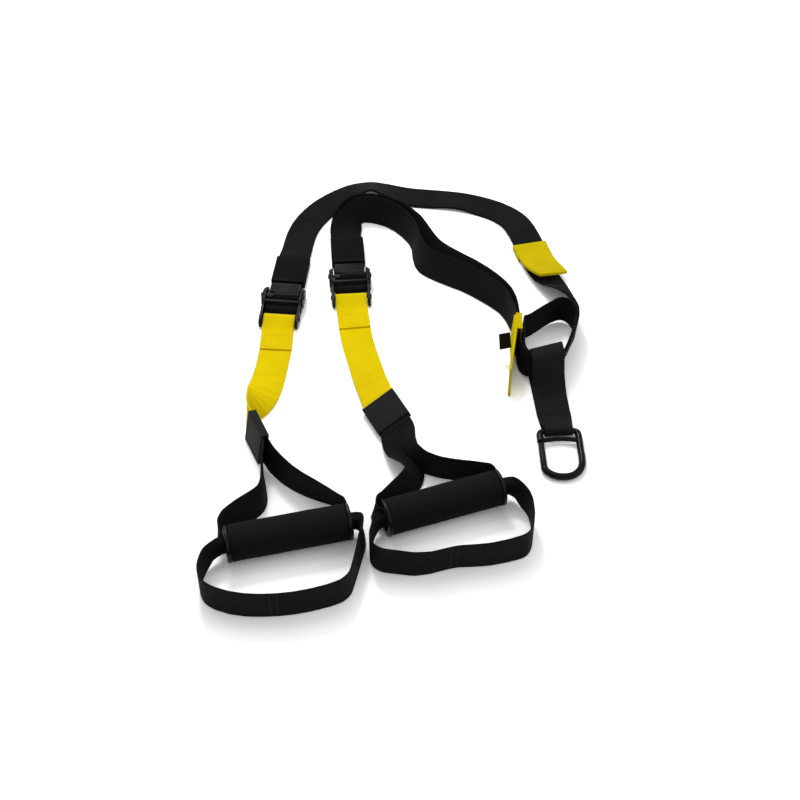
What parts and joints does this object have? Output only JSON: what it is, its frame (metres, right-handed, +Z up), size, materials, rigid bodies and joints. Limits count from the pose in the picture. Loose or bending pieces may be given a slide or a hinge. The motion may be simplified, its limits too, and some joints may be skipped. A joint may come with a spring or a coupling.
{
  "type": "suspension trainer",
  "caption": "Suspension trainer laid out flat: a long adjustable webbing strap with cam buckles, a carabiner anchor, pull tabs, and foam-grip handles that each carry a foot loop.",
  "frame": {"origin": "the middle of the laid-out trainer, on the surface that it lies on", "axes": "+Z up from that surface; +Y from the handles towards the bend of the long strap, which is the longest way; +X towards the side of the anchor and the carabiner"},
  "size_m": [0.4164, 0.7094, 0.044],
  "materials": {
    "black_webbing": "matte",
    "keeper_webbing": "matte",
    "collar_fabric": "matte",
    "yellow_webbing": "matte",
    "black_foam": "matte",
    "black_plastic": "satin",
    "black_coated_metal": "satin",
    "bare_steel": "satin",
    "gloss_black_metal": "gloss",
    "spring_wire": "satin"
  },
  "bodies": {
    "straps": {"main_strap": "black_webbing", "return_strap_left": "black_webbing", "return_strap_right": "black_webbing", "locking_loop": "black_webbing", "pull_tab_left": "yellow_webbing", "pull_tab_right": "yellow_webbing", "tab_tail": "black_webbing", "strap_keeper_left": "keeper_webbing", "strap_keeper_right": "keeper_webbing"},
    "anchor": {"anchor_strap": "black_webbing"},
    "carabiner": {"carabiner_body": "gloss_black_metal", "gate_pin": "bare_steel"},
    "gate": {"carabiner_gate": "black_coated_metal"},
    "buckle_left": {"buckle_frame_left": "black_coated_metal", "loop_bar_left": "black_coated_metal", "turn_bar_left": "black_coated_metal", "cam_pin_left": "black_coated_metal", "cam_spring_left": "spring_wire", "turn_webbing_left": "black_webbing"},
    "cam_left": {"cam_lever_left": "black_coated_metal"},
    "handle_left": {"yellow_strap_left": "yellow_webbing", "collar_left": "collar_fabric", "handle_strap_left": "black_webbing"},
    "grip_left": {"grip_core_left": "black_plastic", "grip_foam_left": "black_foam", "grip_flange_inner_left": "black_plastic", "grip_flange_outer_left": "black_plastic"},
    "foot_left": {"foot_loop_left": "black_webbing"},
    "buckle_right": {"buckle_frame_right": "black_coated_metal", "loop_bar_right": "black_coated_metal", "turn_bar_right": "black_coated_metal", "cam_pin_right": "black_coated_metal", "cam_spring_right": "spring_wire", "turn_webbing_right": "black_webbing"},
    "cam_right": {"cam_lever_right": "black_coated_metal"},
    "handle_right": {"yellow_strap_right": "yellow_webbing", "collar_right": "collar_fabric", "handle_strap_right": "black_webbing"},
    "grip_right": {"grip_core_right": "black_plastic", "grip_foam_right": "black_foam", "grip_flange_inner_right": "black_plastic", "grip_flange_outer_right": "black_plastic"},
    "foot_right": {"foot_loop_right": "black_webbing"}
  },
  "joints": [
    {"name": "strap_adjuster_left", "type": "slide", "parent": "straps", "child": "buckle_left", "axis": [-0.0993, -0.9951, 0], "range_m": [0, 0.025]},
    {"name": "cam_lever_left", "type": "hinge", "parent": "buckle_left", "child": "cam_left", "pos_m": [-0.15062, 0.11086, 0.0157], "axis": [0.9951, -0.0993, 0], "range_deg": [0, 70], "stiffness_Nm_per_rad": 0.05, "springref_deg": -17.19},
    {"name": "handle_swing_left", "type": "hinge", "parent": "buckle_left", "child": "handle_left", "pos_m": [-0.1535, 0.082, 0.006], "axis": [-0.9951, 0.0993, 0], "range_deg": [0, 90]},
    {"name": "grip_spin_left", "type": "hinge", "parent": "handle_left", "child": "grip_left", "pos_m": [-0.1233, -0.2625, 0.0203], "axis": [0.9724, 0.2334, 0], "continuous": true},
    {"name": "foot_loop_swing_left", "type": "hinge", "parent": "handle_left", "child": "foot_left", "pos_m": [-0.1233, -0.2625, 0.0203], "axis": [-0.9724, -0.2334, 0], "range_deg": [0, 120]},
    {"name": "strap_adjuster_right", "type": "slide", "parent": "straps", "child": "buckle_right", "axis": [0.075, -0.9972, 0], "range_m": [0, 0.025]},
    {"name": "cam_lever_right", "type": "hinge", "parent": "buckle_right", "child": "cam_right", "pos_m": [-0.07067, 0.14892, 0.0157], "axis": [0.9972, 0.075, 0], "range_deg": [0, 70], "stiffness_Nm_per_rad": 0.05, "springref_deg": -17.19},
    {"name": "handle_swing_right", "type": "hinge", "parent": "buckle_right", "child": "handle_right", "pos_m": [-0.0685, 0.12, 0.006], "axis": [-0.9972, -0.075, 0], "range_deg": [0, 90]},
    {"name": "grip_spin_right", "type": "hinge", "parent": "handle_right", "child": "grip_right", "pos_m": [0.0355, -0.222, 0.0203], "axis": [0.9426, 0.3338, 0], "continuous": true},
    {"name": "foot_loop_swing_right", "type": "hinge", "parent": "handle_right", "child": "foot_right", "pos_m": [0.0355, -0.222, 0.0203], "axis": [-0.9426, -0.3338, 0], "range_deg": [0, 120]},
    {"name": "anchor_tilt", "type": "hinge", "parent": "straps", "child": "anchor", "pos_m": [0.1585, -0.015, 0.02], "axis": [-0.9965, -0.0837, 0], "range_deg": [0, 6]},
    {"name": "carabiner_tilt", "type": "hinge", "parent": "anchor", "child": "carabiner", "pos_m": [0.16616, -0.10618, 0.0064], "axis": [-0.9994, -0.0349, 0], "range_deg": [0, 90]},
    {"name": "carabiner_gate", "type": "hinge", "parent": "carabiner", "child": "gate", "pos_m": [0.14567, -0.1269, 0.00584], "axis": [0.001, -0.0279, 0.9996], "range_deg": [0, 28], "stiffness_Nm_per_rad": 0.08, "springref_deg": -17.19}
  ]
}
